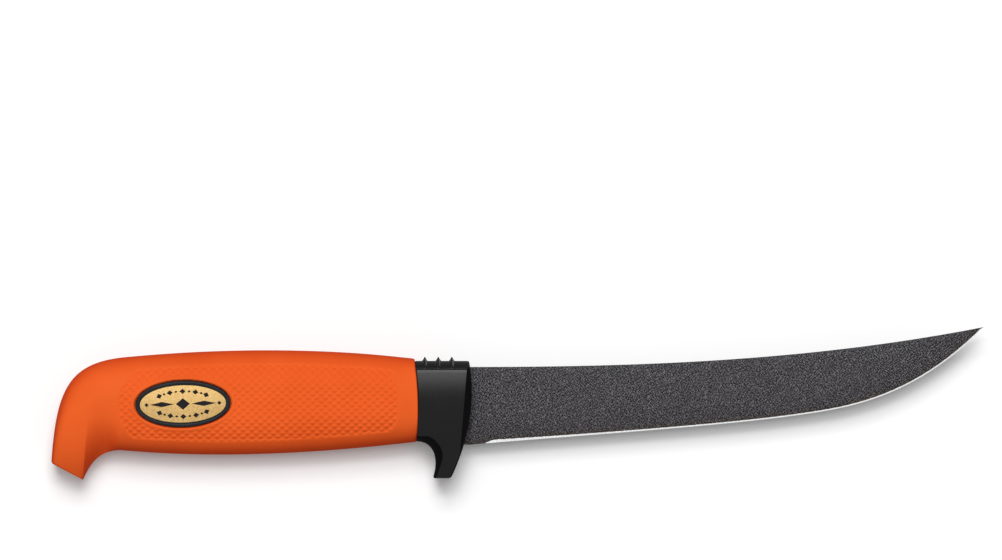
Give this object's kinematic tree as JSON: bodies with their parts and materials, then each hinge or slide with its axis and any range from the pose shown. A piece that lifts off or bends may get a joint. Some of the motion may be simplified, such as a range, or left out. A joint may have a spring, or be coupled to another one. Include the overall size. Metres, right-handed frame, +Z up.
{
  "type": "carving knife",
  "caption": "Fixed-blade carving knife with a dark coated upswept blade, a moulded finger guard and a soft hooked grip with an oval badge.",
  "frame": {"origin": "on the supporting surface, under the middle of the knife's outline, with the knife lying on its flank", "axes": "+X from the butt to the blade's tip, +Y from the edge to the spine, +Z up, out of the flank that carries the badge"},
  "size_m": [0.3076, 0.0504, 0.024],
  "materials": {
    "blade_coating": "dark grey speckled coating with a bright ground edge",
    "guard_plastic": "black satin moulding",
    "core_plastic": "plain black moulding, hidden",
    "grip_rubber": "orange soft moulding, satin, with a diamond pattern on the flanks",
    "badge_rim": "dark slate moulding with a rounded rim",
    "badge_gold": "pale gold satin plate"
  },
  "bodies": {
    "root": {"blade": "blade_coating", "guard": "guard_plastic", "handle_core": "core_plastic", "grip": "grip_rubber", "badge_frame": "badge_rim", "badge_plate": "badge_gold"}
  },
  "joints": []
}
